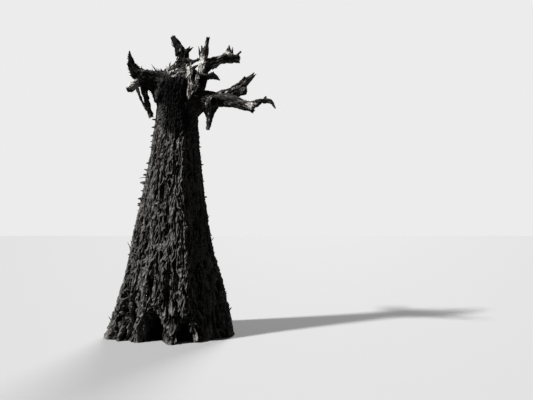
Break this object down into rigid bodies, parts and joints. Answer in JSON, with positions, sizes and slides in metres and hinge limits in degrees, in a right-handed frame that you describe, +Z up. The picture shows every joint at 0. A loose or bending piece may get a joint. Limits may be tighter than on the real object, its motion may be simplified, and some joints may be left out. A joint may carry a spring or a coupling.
{
  "type": "dead quiver tree",
  "caption": "Dead kokerboom, or quiver tree: a stout flared trunk in rough flaking bark under a crown of broken weathered boughs.",
  "frame": {"origin": "middle of the flat cut under the trunk, at ground level", "axes": "+Z up the trunk, +X to the right of the picture's view, -Y towards the viewer"},
  "size_m": [2.5719, 1.9552, 4.7596],
  "materials": {
    "bark": "dry, flaking, very rough dark grey bark",
    "weathered_wood": "weathered grey fibrous wood, matt",
    "bleached_wood": "sun-bleached bare wood, matt"
  },
  "bodies": {
    "root": {"trunk": "bark", "left_bough": "bark", "left_horn": "bark", "left_knob": "bleached_wood", "left_hanging_limb": "weathered_wood", "left_peeled_strip": "weathered_wood", "torn_stump": "bleached_wood", "stump_spur": "weathered_wood", "top_bough": "weathered_wood", "top_prong_left": "weathered_wood", "top_prong_right": "weathered_wood", "top_spur": "weathered_wood", "right_bough": "weathered_wood", "branch_scar": "bark", "right_upper_bough": "weathered_wood", "right_upper_arm": "weathered_wood", "upper_prong": "weathered_wood", "near_sliver": "weathered_wood", "far_sliver": "weathered_wood", "arm_spike_up": "weathered_wood", "arm_spike_side": "weathered_wood", "beak_stub": "weathered_wood", "right_fork": "weathered_wood", "fork_stub": "weathered_wood", "right_bough_twig": "weathered_wood", "hanging_stub": "weathered_wood", "back_bough": "bark", "back_fork": "weathered_wood", "back_stub": "weathered_wood"}
  },
  "joints": []
}
